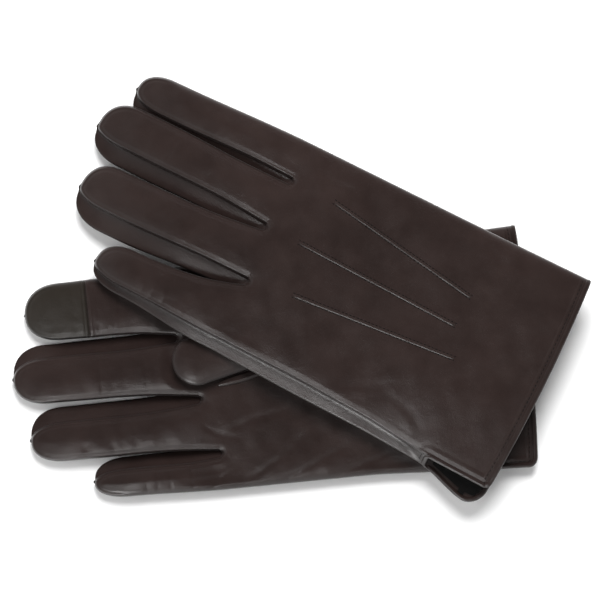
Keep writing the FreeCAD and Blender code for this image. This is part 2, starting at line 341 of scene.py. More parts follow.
def turned_edge(reach, points, rim):
    """Relief of the cuff's turned edge: a flat band, a groove, and the stitched line in it."""
    near = reach < VENT + 8
    gap = np.full(len(points), FAR)
    gap[near] = polyline_distance(points[near], rim)
    band = 0.38 * (1 - smooth((gap - 5.0) / 0.6))
    groove = 0.42 * bump(gap - 2.75, 0.4)
    stitched = 0.22 * bump(gap - RIM_SEAM, 0.35)
    return band - groove - stitched


def thumb_place(along, across, swing=0.0):
    """x and y, in a glove's frame, of a place beside its thumb's middle line."""
    angle = math.radians(THUMB_ANGLE - swing)
    x = -THUMB_REACH - along * math.cos(angle) - across * math.sin(angle)
    y = THUMB_Y - along * math.sin(angle) + across * math.cos(angle)
    return x, y


def thumb_lines(side):
    """In plan, the middle lines of the thumbs that lie on a glove, at rest and swung, in degrees."""
    if side == "left":
        return []
    lines = []
    for other, swings in (("right", (0, 14, 27, 40)), ("left", (0,))):
        turn = MATRIX[side].inverted() @ MATRIX[other]
        for swing in swings:
            ends = [turn @ Vector((*thumb_place(s, 0, swing), 0)) for s in (0, THUMB_LENGTH)]
            lines.append(np.array([(-p.x, p.y) for p in ends]))
    return lines


def thickness(reach):
    return CUFF_THICK + (HAND_THICK - CUFF_THICK) * smooth(reach / 60)


def base_height(glove, reach, y):
    """Height of a glove's underside: its fingers hang and its outer side sags."""
    reaches, drops = zip(*glove["droop"])
    fine = np.linspace(0, 300, 301)
    window = 25
    padded = np.pad(np.interp(fine, reaches, drops), window // 2, mode="edge")
    soft = np.convolve(padded, np.ones(window) / window, "valid")
    z = np.interp(reach, fine, soft)
    return z - glove["sag"] * smooth((-y - 18) / 45) * (1 - smooth((reach - 50) / 40))


def crease(points, line, width, depth):
    """A soft groove along a line, which fades out towards its two ends."""
    line = np.array(line, float)
    gap = polyline_distance(points, line)
    span = line[-1] - line[0]
    along = ((points - line[0]) @ span) / (span @ span)
    return -depth * bump(gap, width) * smooth(np.minimum(along, 1 - along) / 0.35 + 0.15)


# Each crease: the (reach, y) pairs that it runs through, its width and its depth.
CREASES = {
    ("right", "upper"): (
        (((150, -56), (128, -44), (112, -30)), 1.5, 0.42),
        (((131, -57), (110, -48), (92, -40)), 1.6, 0.36),
        (((108, -58), (92, -53), (70, -46)), 1.4, 0.3),
        (((160, -30), (142, -24), (120, -20)), 1.7, 0.36),
        (((152, -47), (160, -52), (166, -57)), 1.1, 0.3),
        (((171, 8), (162, 2), (150, 0)), 1.5, 0.36),
        (((168, -24), (158, -30), (146, -33)), 1.3, 0.3),
    ),
    ("left", "upper"): (
        (((152, 50), (138, 44), (120, 46)), 2.2, 0.24),
        (((60, 52), (44, 46), (26, 50)), 2.4, 0.24),
        (((96, -48), (78, -40), (62, -30)), 2.4, 0.21),
        (((40, -50), (52, -42), (70, -38)), 2.2, 0.24),
    ),
    ("left", "lower"): (
        (((150, 40), (132, 20), (128, -20)), 2.0, 0.36),
        (((96, -50), (80, -20), (88, 10)), 2.0, 0.3),
    ),
    ("right", "lower"): ((((150, 40), (140, 10), (146, -30)), 2.2, 0.24),),
}


def is_palm(glove, level):
    return (level == "upper") == (glove["up"] == "palm")


def rounding(reach, y, gap):
    """How far a sheet drops towards its edge; it drops less beside the slit in the cuff."""
    inside = np.clip(gap / EDGE_R, 0, 1)
    drop = EDGE_DROP * (1 - np.sqrt(np.clip(1 - (1 - inside) ** 2, 0, 1)))
    vent = (1 - smooth((reach - VENT + 2) / 14)) * smooth((-y - 30) / 15)
    return drop * (1 - 0.75 * vent)


def crown(reach, gap):
    """How far a sheet swells towards its middle, more in the fingers than in the hand."""
    finger = smooth((reach - 150) / 25)
    return (1.5 * finger + 0.9 * (1 - finger)) * (1 - (1 - np.clip(gap / 11, 0, 1)) ** 2)


def edge_ridge(gap):
    """Relief along a sewn edge: a raised fold between a nick at the edge and a groove."""
    return 0.42 * bump(gap - 1.05, 0.62) - 0.6 * bump(gap, 0.42) - 0.2 * bump(gap - 2.1, 0.4)


def knuckle_folds(knuckle, number, reach, y, gap):
    """Fine folds across a finger, at its bend and on both sides of it."""
    folds = sum(
        0.2 * bump(reach - knuckle - shift - 0.05 * (y % 7), 1.1)
        for shift in (-16, -5, 1.5, 7, 21)
    )
    return -folds * smooth(gap / 5) * (0.6 + 0.4 * np.sin(y * 0.9 + number * 2))


def pad_seam(reach):
    """The touch pad stands a little proud, behind a groove with a ridge before it."""
    edge = reach - PAD_REACH
    proud = 0.18 * smooth(edge / 0.8) - 0.22 * bump(edge - 1.5, 0.3)
    return proud - 0.75 * bump(edge + 0.3, 0.38) + 0.16 * bump(edge + 2.0, 0.9)


def relief(side, level, number, points, gap, rim):
    """How far the leather of a sheet stands above its even, flat form."""
    glove = GLOVES[side]
    reach, y = points[:, 0], points[:, 1]
    seed = {"right": 11, "left": 29}[side] + (level == "lower")
    rolls = 0.30 * waves(reach, y, seed, 9, 95, 38) + 0.07 * waves(reach, y, seed + 50, 14, 24, 9)
    ridge = seam_share(glove, level, number, points) * edge_ridge(gap)
    folds = knuckle_folds(glove["bend"][number], number, reach, y, gap)
    height = crown(reach, gap) + ridge + rolls * smooth(gap / 7) + folds
    height = height + turned_edge(reach, points, rim)
    for line, width, depth in CREASES[side, level]:
        height = height + crease(points, line, width, depth)
    if number == 0 and is_palm(glove, level):
        height = height + pad_seam(reach)
    return height


def sheet_height(side, level, columns, outline, rim):
    """z of every vertex of a sheet, which is the upper or the lower one."""
    glove = GLOVES[side]
    result = []
    for number, plan in enumerate(columns):
        points = plan.reshape(-1, 2)
        reach, y = points[:, 0], points[:, 1]
        gap = polyline_distance(points, outline)
        drop = rounding(reach, y, gap)
        height = relief(side, level, number, points, gap, rim)
        tip = glove[level]["fingers"][number][3][0]
        taper = smooth((reach - (tip - 24)) / 24)
        half = thickness(reach) / 2 * (1 - 0.34 * taper)
        middle = thickness(reach) / 2 - 0.5 * taper
        base = base_height(glove, reach, y)
        if level == "upper":
            z = base + middle + half - drop + height
            for line in thumb_lines(side):
                pressed = 1 - smooth((polyline_distance(points, line) - 12) / 8)
                z = z - pressed * np.maximum(z - HAND_THICK - 0.1, 0)
        else:
            flat = 0.12 if side == "right" else 0.45
            z = np.maximum(base, base + middle - half + drop - flat * height)
        result.append(z.reshape(plan.shape[:2]))
    return result


def seam_share(glove, level, number, points):
    """1 near an edge that is sewn, 0 near one that is a fold of the same piece of leather."""
    reach, y = points[:, 0], points[:, 1]
    share = np.ones(len(points))
    if number == 0:
        tip = glove[level]["fingers"][0]
        share *= 1 - smooth((y - (tip[0] + tip[1]) / 2) / 5) * (1 - smooth((reach - tip[2]) / 6))
    if number == 3 and is_palm(glove, level):
        tip = glove[level]["fingers"][3]
        outer = smooth((sum(tip[:2]) / 2 - y) / 3) * (1 - smooth((reach - tip[2]) / 6))
        share *= 1 - outer
    return share


# ---- meshes ----
class Shell:
    """A growing list of vertices and quads, with a name for the piece that each quad belongs to."""

    def __init__(self, step=1):
        self.points, self.quads, self.owners, self.count = [], [], [], 0
        self.step = step

    def grid(self, points, flip, owner):
        """Adds a rows x columns x 3 grid of points as quads, keeping every step-th row and column.

        `owner` gives the name of the piece that a row of quads belongs to.
        """
        points = points[:: self.step, :: self.step]
        rows, columns = points.shape[:2]
        number = np.arange(rows * columns).reshape(rows, columns) + self.count
        quads = np.stack([number[:-1, :-1], number[1:, :-1], number[1:, 1:], number[:-1, 1:]], -1)
        if flip:
            quads = quads[..., ::-1]
        self.quads.append(quads.reshape(-1, 4))
        for row in range(rows - 1):
            self.owners += [owner(row * self.step)] * (columns - 1)
        self.points.append(points.reshape(-1, 3))
        self.count += rows * columns

    def merged(self):
        """Points with doubles merged, quads as merged numbers, and each merged point's normal."""
        points, quads = np.concatenate(self.points), np.concatenate(self.quads)
        keys = np.round(points * 500).astype(np.int64)
        _, first, where = np.unique(keys, axis=0, return_index=True, return_inverse=True)
        where = where.reshape(-1)
        points, quads = points[first], where[quads]
        normals = np.zeros_like(points)
        a, b, c, d = (points[quads[:, i]] for i in range(4))
        face = np.cross(c - a, d - b)
        for i in range(4):
            np.add.at(normals, quads[:, i], face)
        normals /= np.maximum(np.linalg.norm(normals, axis=1)[:, None], 1e-12)
        return points, quads, normals


def clean_faces(quads):
    """Faces as tuples, with repeated corners dropped and faces of fewer than 3 corners left out."""
    faces = []
    for quad in quads.tolist():
        face = []
        for v in quad:
            if v not in face:
                face.append(v)
        if len(face) > 2:
            faces.append(tuple(face))
    return faces


def rim_edges(faces):
    """Directed edges that only one face uses."""
    used = {}
    for face in faces:
        for a, b in zip(face, face[1:] + face[:1]):
            used[(a, b)] = used.get((a, b), 0) + 1
    return [(a, b) for (a, b) in used if (b, a) not in used]


def make_object(name, points, faces, matrix, material, normals=None):
    mesh = bpy.data.meshes.new(name)
    mesh.from_pydata([tuple(p) for p in points], [], faces)
    mesh.update()
    mesh.polygons.foreach_set("use_smooth", [True] * len(mesh.polygons))
    if normals is not None:
        mesh.normals_split_custom_set_from_vertices([tuple(n) for n in normals])
    mesh.transform(matrix)
    mesh.materials.append(material)
    obj = bpy.data.objects.new(name, mesh)
    bpy.context.collection.objects.link(obj)
    return obj


def thick_piece(name, points, quads, normals, matrix, material, thick):
    """A closed piece: the given outside, an inside `thick` further in, and a rim."""
    used = np.unique(quads)
    renumber = np.full(len(points), -1)
    renumber[used] = np.arange(len(used))
    outside = points[used]
    inside = outside - normals[used] * thick
    faces = clean_faces(renumber[quads])
    count = len(used)
    back = [tuple(v + count for v in reversed(face)) for face in faces]
    rims = [(b, a, a + count, b + count) for a, b in rim_edges(faces)]
    both = np.concatenate([normals[used], -normals[used]])
    every = faces + back + rims
    return make_object(name, np.concatenate([outside, inside]), every, matrix, material, both)


# ---- materials ----
def new_material(name):
    material = bpy.data.materials.new(name)
    material.use_nodes = True
    nodes, links = material.node_tree.nodes, material.node_tree.links
    return material, nodes, links, nodes["Principled BSDF"]


def set_inputs(node, values):
    for name, value in values.items():
        node.inputs[name].default_value = value


def tint(nodes, links, value, shader, dark, light, start=0.0, end=1.0):
    """Base colour: from dark to light as a value goes from start to end."""
    ramp = nodes.new("ShaderNodeValToRGB")
    low, high = ramp.color_ramp.elements
    low.position = start
    high.position = end
    low.color = (*dark, 1)
    high.color = (*light, 1)
    links.new(value, ramp.inputs["Fac"])
    links.new(ramp.outputs["Color"], shader.inputs["Base Color"])


def leather(name, color, rough, grain=1.0):
    """Smooth nappa: pebbled grain, finer pores, soft creases, and a sheen that varies."""
    material, nodes, links, shader = new_material(name)
    place = nodes.new("ShaderNodeTexCoord").outputs["Object"]

    def noise(scale, detail, roughness=0.5):
        node = nodes.new("ShaderNodeTexNoise")
        set_inputs(node, {"Scale": scale, "Detail": detail, "Roughness": roughness})
        links.new(place, node.inputs["Vector"])
        return node.outputs["Fac"]

    broad, cloudy = noise(16, 4), noise(70, 6, 0.6)
    pebble = nodes.new("ShaderNodeTexVoronoi")
    pebble.feature = "DISTANCE_TO_EDGE"
    set_inputs(pebble, {"Scale": 1150})
    links.new(place, pebble.inputs["Vector"])
    pore = noise(2600, 3)
    wrinkle = noise(240, 5, 0.65)

    blend = nodes.new("ShaderNodeMix")
    set_inputs(blend, {"Factor": 0.45})
    links.new(broad, blend.inputs["A"])
    links.new(cloudy, blend.inputs["B"])
    dark = [c * 0.72 for c in color]
    light = [c * 1.35 for c in color]
    tint(nodes, links, blend.outputs["Result"], shader, dark, light, 0.3, 0.72)

    spread = nodes.new("ShaderNodeMapRange")
    set_inputs(spread, {"From Min": 0.3, "From Max": 0.7})
    set_inputs(spread, {"To Min": rough - 0.05, "To Max": rough + 0.08})
    links.new(cloudy, spread.inputs["Value"])
    links.new(spread.outputs["Result"], shader.inputs["Roughness"])

    normal = None
    for height, strength, depth in (
        (wrinkle, 0.30, 0.00050),
        (pebble.outputs["Distance"], 0.30 * grain, 0.00020),
        (pore, 0.22 * grain, 0.00006),
    ):
        node = nodes.new("ShaderNodeBump")
        set_inputs(node, {"Strength": strength, "Distance": depth})
        links.new(height, node.inputs["Height"])
        if normal:
            links.new(normal, node.inputs["Normal"])
        normal = node.outputs["Normal"]
    links.new(normal, shader.inputs["Normal"])
    set_inputs(shader, {"Specular IOR Level": 0.27, "Coat Weight": 0.05, "Coat Roughness": 0.25})
    set_inputs(shader, {"Sheen Weight": 0.03, "Sheen Roughness": 0.5})
    return material


def cloth(name, color, scale, rough=0.9):
    """A fine knit or weave: two crossed sets of threads, with a fuzzy sheen."""
    material, nodes, links, shader = new_material(name)
    place = nodes.new("ShaderNodeTexCoord").outputs["Object"]
    crossed = nodes.new("ShaderNodeMath")
    crossed.operation = "MULTIPLY"
    for number, axis in enumerate("XY"):
        wave = nodes.new("ShaderNodeTexWave")
        wave.bands_direction = axis
        set_inputs(wave, {"Scale": scale, "Distortion": 1.5, "Detail": 2})
        links.new(place, wave.inputs["Vector"])
        links.new(wave.outputs["Fac"], crossed.inputs[number])
    threads = crossed.outputs["Value"]
    tint(nodes, links, threads, shader, [c * 0.6 for c in color], [c * 1.3 for c in color])
    node = nodes.new("ShaderNodeBump")
    set_inputs(node, {"Strength": 0.6, "Distance": 0.0002})
    links.new(threads, node.inputs["Height"])
    links.new(node.outputs["Normal"], shader.inputs["Normal"])
    set_inputs(shader, {"Roughness": rough, "Specular IOR Level": 0.12, "Sheen Weight": 0.03})
    return material


LEATHER_BROWN = leather("leather_dark_brown", (0.0158, 0.0098, 0.0087), 0.34)
LEATHER_TOUCH = leather("leather_touch_panel", (0.0132, 0.0104, 0.0080), 0.42, 0.8)
LEATHER_BINDING = leather("leather_binding", (0.0140, 0.0086, 0.0077), 0.34)
THREAD = cloth("thread_dark_brown", (0.0050, 0.0036, 0.0034), 2600, 0.7)
# The lining's near-black colour is partly its own dark knit and partly painted shade for the dark
# inside of the glove.
KNIT_AND_PAINTED_SHADE = cloth("lining_knit", (0.0036, 0.0032, 0.0031), 700)
TAPE = cloth("label_tape", (0.32, 0.30, 0.27), 1200)


# ---- one glove's leather ----
def wall_points(upper, lower, outward, bulge, round_fold):
    """A wall between an upper and a lower edge line (rows x 3), bulging outward in plan."""
    w = np.linspace(0, 1, WALL_ROWS + 1)
    level = (1 - np.cos(w * math.pi)) / 2 if round_fold else w
    swell = np.sin(w * math.pi) ** (1.0 if round_fold else 0.8)
    points = upper[:, None] * (1 - level[None, :, None]) + lower[:, None] * level[None, :, None]
    points[..., :2] += outward[:, None] * (swell[None, :, None] * bulge[:, None, None])
    return points


def plan_outward(line, sign):
    """Unit vectors in plan, square to a line of points, on the side that sign says."""
    step = np.gradient(line[:, :2], axis=0)
    step[np.linalg.norm(step, axis=1) < 1e-9] = (0, 1)
    step /= np.maximum(np.linalg.norm(step, axis=1)[:, None], 1e-12)
    return sign * np.column_stack([step[:, 1], -step[:, 0]])


def to_xyz(plan, z):
    return np.stack([-plan[..., 0], plan[..., 1], z], -1)


def cuff_bow(points):
    """The cuff's edge bows out: its middle stands 2 mm past its corners."""
    share = smooth(1 + points[..., 0] / 30)
    points[..., 0] += 2.0 * share * (1 - np.clip(points[..., 1] / 60, -1, 1) ** 2)
    return points


def glove_grids(side):
    """Every vertex of a glove's upper and lower sheets: four grids each."""
    grids = {}
    for level in ("upper", "lower"):
        columns, outline, rim = sheet_plan(GLOVES[side][level])
        heights = sheet_height(side, level, columns, outline, rim)
        grids[level] = [cuff_bow(to_xyz(p, z)) for p, z in zip(columns, heights)]
    return grids


def glove_wall(side, grids, number, outer):
    """The wall on one side of a finger's column, and the row that it starts at."""
    glove = GLOVES[side]
    column = -1 if outer else 0
    edge_of_hand = number == (3 if outer else 0)
    first = CROTCH_ROW
    if edge_of_hand:
        first = HAND_ROWS_VENT if outer else 0
    a = grids["upper"][number][first:, column]
    b = grids["lower"][number][first:, column]
    fold = edge_of_hand and not outer
    outward = plan_outward(a, 1 if outer else -1)
    outward[-1] = (-1, 0)
    reach = -a[:, 0]
    size = glove["bulge_outer"] if outer else glove["bulge_thumb_side"]
    grow = smooth((reach - reach[0]) / 25)
    if fold:
        size = THUMB_SIDE_FOLD
        grow = np.ones(len(reach))
    elif edge_of_hand:
        size = glove["fold_outer"]
        grow = 0.25 + 0.75 * smooth((reach - VENT) / 20)
    tip = glove["upper"]["fingers"][number]
    end = smooth((reach - tip[2]) / (tip[3][0] - tip[2]))
    return wall_points(a, b, outward, size * grow * (1 - end) + 0.8 * end, fold), first


def glove_shell(side, grids, step=1):
    """The whole outside of one glove, with the name of the piece that each quad belongs to."""
    glove, shell = GLOVES[side], Shell(step)
    names = {level: "palm" if is_palm(glove, level) else "back" for level in grids}
    for level, columns in grids.items():
        for number, grid in enumerate(columns):
            name = FINGERS[number]
            pad_here = names[level] == "palm" and number == 0

            def owner(row, grid=grid, name=name, level=level, pad_here=pad_here):
                if row < CROTCH_ROW:
                    return f"hand_{names[level]}"
                if pad_here and -grid[row, COLUMNS // 2, 0] > PAD_REACH - 0.4:
                    return "index_touch_pad"
                return f"{name}_{names[level]}"

            shell.grid(grid, level == "lower", owner)
    for number in range(4):
        for outer in (False, True):
            wall, first = glove_wall(side, grids, number, outer)
            edge_of_hand = number == (3 if outer else 0)
            trank = "palm" if outer else "back"

            def owner(row, trank=trank, first=first, name=FINGERS[number], edge=edge_of_hand):
                if edge:
                    part = "hand" if row + first < CROTCH_ROW else name
                    return f"{part}_{trank}"
                return f"{name}_fourchettes"

            shell.grid(wall, not outer, owner)
    return shell


def build_leather(side, grids):
    """The leather of one glove: a closed piece for each panel, and the merged outside."""
    shell = glove_shell(side, grids)
    points, quads, normals = shell.merged()
    owners = np.array(shell.owners)
    for owner in sorted(set(shell.owners)):
        touch = owner == "index_touch_pad"
        material = LEATHER_TOUCH if touch else LEATHER_BROWN
        mine = quads[owners == owner]
        name = f"{side}_{owner}_leather"
        piece = thick_piece(name, points, mine, normals, MATRIX[side], material, LEATHER_THICK)
        place_piece(side, owner.split("_")[0], piece)
        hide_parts(*leather_nodes(side, owner))
    return points, quads, normals


def leather_nodes(side, owner):
    """The CAD nodes that a panel of leather stands for."""
    part, kind = owner.split("_", 1)
    if part == "hand":
        return [f"{side}_trank_{kind}"]
    if kind == "touch_pad":
        return [f"{side}_index_touch_pad"]
    forks = {"index": "index_middle", "middle": "middle_ring"}
    if kind == "fourchettes":
        return [f"{side}_fourchette_{forks.get(part, 'ring_pinky')}"]
    return [f"{side}_{part}_tip"]


def place_piece(side, part, piece):
    """A piece of the hand rides the hand; a piece of a finger keeps its place, baked into its mesh.
    """
    if part == "hand":
        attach(piece, f"{side}_hand")
        return
    number = FINGERS.index(part)
    bend = GLOVES[side]["bend"][number]
    y = sum(GLOVES[side]["upper"]["fingers"][number][:2]) / 2
    start, end = (MATRIX[side] @ Vector((-bend + s, y, HAND_THICK)) for s in (BEND_HALF, -BEND_HALF))
    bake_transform(piece)
    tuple(start)
    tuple(end)


def rim_distance(points, rim):
    """The distance from each point near the cuff to the nearest vertex of its rim."""
    near = np.nonzero(points[:, 0] > -VENT - 8)[0]
    gap = np.full(len(points), FAR)
    chunk = 500
    for low in range(0, len(near), chunk):
        some = near[low : low + chunk]
        gap[some] = np.linalg.norm(points[some, None] - rim[None], axis=2).min(1)
    return gap


def build_lining(side, grids):
    """The knitted lining: the same hand and fingers, drawn coarser and just inside the leather."""
    shell = glove_shell(side, grids, 2)
    points, quads, normals = shell.merged()
    parts = np.array([owner.split("_")[0] for owner in shell.owners])
    rim = points[rim_loop(quads)]
    points = points - normals * LINING_INSET
    for finger in GLOVES[side]["upper"]["fingers"]:
        inside = (points[:, 1] < finger[0] + 2) & (points[:, 1] > finger[1] - 9)
        past = smooth((-points[:, 0] - finger[2] + 8) / (finger[3][0] - finger[2] + 8))
        points[:, 0] += LINING_TIP_GAP * past * inside
    kept = (rim_distance(points, rim)[quads] > LINING_SHORT).all(1)
    quads, parts = quads[kept], parts[kept]
    for part in ("hand", *FINGERS):
        node = f"{side}_hand_lining" if part == "hand" else f"{side}_{part}_tip_lining"
        mine = quads[parts == part]
        piece = thick_piece(f"{node}_knit", points, mine, normals, MATRIX[side], KNIT_AND_PAINTED_SHADE, LINING_THICK)
        place_piece(side, part, piece)
        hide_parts(node)


# ---- trim ----
def resample(path, pitch, closed=False):
    """A path (rows of numbers whose first three are a place) cut into equal steps."""
    if closed:
        path = np.concatenate([path, path[:1]])
    run = np.linalg.norm(np.diff(path[:, :3], axis=0), axis=1)
    run = np.concatenate([[0], np.cumsum(run)])
    count = max(2, round(run[-1] / pitch))
    at = np.linspace(0, run[-1], count + 1)
    if closed:
        at = at[:-1]
    return np.column_stack([np.interp(at, run, path[:, i]) for i in range(path.shape[1])])


def unit(rows):
    return rows / np.maximum(np.linalg.norm(rows, axis=-1, keepdims=True), 1e-12)


def soften(rows, window, closed=False):
    """A moving average along a path."""
    kernel = np.ones(window) / window
    padded = np.pad(rows, ((window // 2, window // 2), (0, 0)), mode="wrap" if closed else "edge")
    return np.column_stack([np.convolve(padded[:, i], kernel, "valid") for i in range(rows.shape[1])])


def lay_on(tree, line, pitch, from_above):
    """A plan line (reach, y) laid on a shell: rows of place and normal."""
    flat = np.column_stack([-line[:, 0], line[:, 1], np.zeros(len(line))])
    sign = 1 if from_above else -1
    rows = []
    for x, y, _ in resample(flat, pitch):
        hit, normal, _, _ = tree.ray_cast(Vector((x, y, sign * 60)), Vector((0, 0, -sign)))
        normal = normal if normal.z * sign > 0 else -normal
        rows.append([*hit, *normal])
    return soften(np.array(rows), 5)


def rail(path):
    """Along a laid path: its places, the directions across and up, and the share of the way."""
    place, up = path[:, :3], unit(path[:, 3:])
    across = unit(np.cross(up, unit(np.gradient(place, axis=0))))
    return place, across, up, np.linspace(0, 1, len(path))


def sweep(place, across, up, profile, size=None, closed=False):
    """A closed tube: a profile of (across, up) pairs carried along a path."""
    size = np.ones(len(place)) if size is None else size
    ring = profile[None, :, :1] * across[:, None] + profile[None, :, 1:] * up[:, None]
    points = place[:, None] + size[:, None, None] * ring
    rows, columns = points.shape[:2]
    number = np.arange(rows * columns).reshape(rows, columns)
    after = np.roll(number, -1, axis=0) if closed else number[1:]
    before = number if closed else number[:-1]
    quads = np.stack([before, after, np.roll(after, -1, 1), np.roll(before, -1, 1)], -1)
    faces = [tuple(q) for q in quads.reshape(-1, 4).tolist()]
    if not closed:
        faces += [tuple(number[0].tolist()), tuple(reversed(number[-1].tolist()))]
    return points.reshape(-1, 3), faces


def stitches(place, along, up, length, radius):
    """Short rounded stitches, one at each place, as one list of points and faces."""
    rings = ((-0.5, 0.35), (-0.4, 0.85), (0, 1.0), (0.4, 0.85), (0.5, 0.35))
    sides = 6
    angle = np.arange(sides) * 2 * math.pi / sides
    side = np.cross(up, along)
    points, faces = [], []
    for p, a, s, u in zip(place, along, side, up):
        first = len(points)
        for at, wide in rings:
            middle = p + a * at * length - u * radius * 1.2 * abs(at * 2) ** 3
            for w in angle:
                points.append(middle + wide * radius * (s * math.cos(w) + u * math.sin(w)))
        last = len(points) - sides
        for low in range(first, last, sides):
            for k in range(sides):
                after = (k + 1) % sides
                faces.append((low + k, low + after, low + sides + after, low + sides + k))
        faces.append(tuple(first + k for k in reversed(range(sides))))
        faces.append(tuple(last + k for k in range(sides)))
    return points, faces


def stitch_row(path, shift, pitch, length, radius=0.19, closed=False):
    """Stitches along a path of places and normals, shifted sideways."""
    path = resample(path, pitch, closed)
    place, up = path[:, :3], unit(path[:, 3:])
    along = unit(np.gradient(place, axis=0))
    side = unit(np.cross(up, along))
    lifted = place + side * shift + up * radius * 0.35
    return stitches(lifted, along, up, length, radius)


def oval(wide, high, power=2.0, count=14):
    """A closed profile: (across, up) pairs around a superellipse."""
    w = np.arange(count) * 2 * math.pi / count
    c, s = np.cos(w), np.sin(w)
    return np.column_stack([
        wide * np.sign(c) * np.abs(c) ** (2 / power),
        high * np.sign(s) * np.abs(s) ** (2 / power),
    ])


def joined(parts):
    """Several lists of points and faces as one."""
    points, faces = [], []
    for some, more in parts:
        faces += [tuple(v + len(points) for v in face) for face in more]
        points += [tuple(p) for p in some]
    return points, faces


def rim_loop(quads):
    """The vertices around a shell's opening, in order, with its faces on their left."""
    follow, loops = dict(rim_edges(clean_faces(quads))), []
    while follow:
        first = min(follow)
        loop, after = [first], follow.pop(first)
        while after != first:
            loop.append(after)
            after = follow.pop(after, first)
        loops.append(loop)
    return max(loops, key=len)


def build_binding(side, shell, tree):
    """The rolled edge around the cuff and its slit, and the row of stitches beside it."""
    points, quads, normals = shell
    loop = rim_loop(quads)
    path = resample(np.column_stack([points[loop], normals[loop]]), 0.9, True)
    place = soften(path[:, :3], 3, True)
    up = unit(soften(path[:, 3:], 7, True))
    ahead = unit(np.roll(place, -1, 0) - np.roll(place, 1, 0))
    inward = unit(soften(np.cross(up, ahead), 5, True))
    up = unit(np.cross(ahead, inward))
    inside_rim = (1.15, -0.78)
    profile = oval(1.35, 1.3, 2.3) + inside_rim
    tube, faces = sweep(place, inward, up, profile, closed=True)
    if side == "right":
        tube[:, 2] = np.maximum(tube[:, 2], 0.02)  # it rests on the table
    roll = make_object(f"{side}_binding_roll", tube, faces, MATRIX[side], LEATHER_BINDING)
    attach(roll, f"{side}_hand")
    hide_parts(f"{side}_cuff_binding", f"{side}_vent_binding")
    rows = []
    for p in place + inward * RIM_SEAM:
        hit, normal, _, _ = tree.find_nearest(Vector(p))
        rows.append([*hit, *normal])
    rows = soften(np.array(rows), 3, True)
    thread = stitch_row(rows, 0, 2.3, 1.75, 0.2, True)
    row = make_object(f"{side}_binding_stitches", *thread, MATRIX[side], THREAD)
    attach(row, f"{side}_hand")


def build_points(side, tree):
    """The three raised points on the back of the hand, each with a row of stitches on both sides."""
    above = GLOVES[side]["up"] == "back"
    proud = 0.62 if above else 0.12
    half_height = 0.9
    beside = 1.12  # from the middle of a rib to its stitches
    thread = []
    for n, ends in enumerate(POINTS, 1):
        path = lay_on(tree, np.array(ends, float), 0.8, above)
        place, across, up, t = rail(path)
        size = 0.25 + 0.75 * np.sqrt(1 - (1 - np.clip(np.minimum(t, 1 - t) / 0.05, 0, 1)) ** 2)
        profile = oval(0.95, half_height, 2.2) + (0, proud - half_height)
        rib = sweep(place, across, up, profile, size)
        obj = make_object(f"{side}_point_{n}_rib", *rib, MATRIX[side], LEATHER_BROWN)
        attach(obj, f"{side}_hand")
        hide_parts(f"{side}_back_point_{n}")
        for shift in (-beside, beside):
            thread.append(stitch_row(path, shift, 2.0, 1.45, 0.17))
    obj = make_object(f"{side}_point_stitches", *joined(thread), MATRIX[side], THREAD)
    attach(obj, f"{side}_hand")


def thumb_tube(side, inset):
    """A thumb: a tapered, puffed tube with rounded ends, with a seam along both edges."""
    rows, around = 72, 96
    puff, squareness = 2.4, 0.78
    total = THUMB_ROOT_R + THUMB_LENGTH + THUMB_TIP_R
    s = total * (1 - np.cos(np.linspace(0, math.pi, rows + 1))) / 2 - THUMB_ROOT_R
    share = np.clip(s / THUMB_LENGTH, 0, 1)
    radius = THUMB_ROOT_R + (THUMB_TIP_R - THUMB_ROOT_R) * share
    past = np.where(s < 0, -s, np.maximum(s - THUMB_LENGTH, 0))
    wide = np.sqrt(np.maximum(radius**2 - past**2, 0))
    end = np.clip(np.minimum(s + THUMB_ROOT_R, total - THUMB_ROOT_R - s) / 11, 0, 1)
    high = THUMB_THICK / 2 * (1 - (1 - end) ** puff) ** (1 / puff)
    wide = wide * (1 - inset / THUMB_TIP_R)
    high = high * (1 - inset / (THUMB_THICK / 2))
    angle = np.linspace(0, 2 * math.pi, around + 1)
    c, z = np.cos(angle), np.sin(angle)
    c = np.sign(c) * np.abs(c) ** squareness
    z = np.sign(z) * np.abs(z) ** squareness
    seam = bump((np.abs(np.abs(angle - math.pi) - math.pi / 2) - math.pi / 2) + 0.22, 0.07)
    groove = 1 - 0.05 * seam * (inset == 0)
    level = HAND_THICK + THUMB_GAP if GLOVES[side]["up"] == "palm" else -THUMB_GAP - THUMB_THICK
    y = wide[:, None] * (c * groove)[None]
    height = high[:, None] * (z * groove)[None]
    x = np.repeat(s[:, None], around + 1, 1)
    wobble = 0.22 * waves(x, y, 71, 8, 30, 12) * (inset == 0)
    height = height * (1 - 0.06 * np.abs(wobble))
    grid = np.stack([*thumb_place(x, y), level + THUMB_THICK / 2 + height], -1)
    grid[:, -1] = grid[:, 0]
    shell = Shell()
    shell.grid(grid, False, lambda row: "thumb")
    points, quads, normals = shell.merged()
    return points, clean_faces(quads), normals


def build_thumb(side):
    for node, inset, material, slot in (
        ("thumb", 0, LEATHER_BROWN, "leather"),
        ("thumb_lining", 1.3, KNIT_AND_PAINTED_SHADE, "lining"),
    ):
        points, faces, normals = thumb_tube(side, inset)
        name = f"{side}_{node}_shape"
        obj = make_object(name, points, faces, MATRIX[side], material, normals)
        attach(obj, f"{side}_thumb")
        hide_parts(f"{side}_{node}")


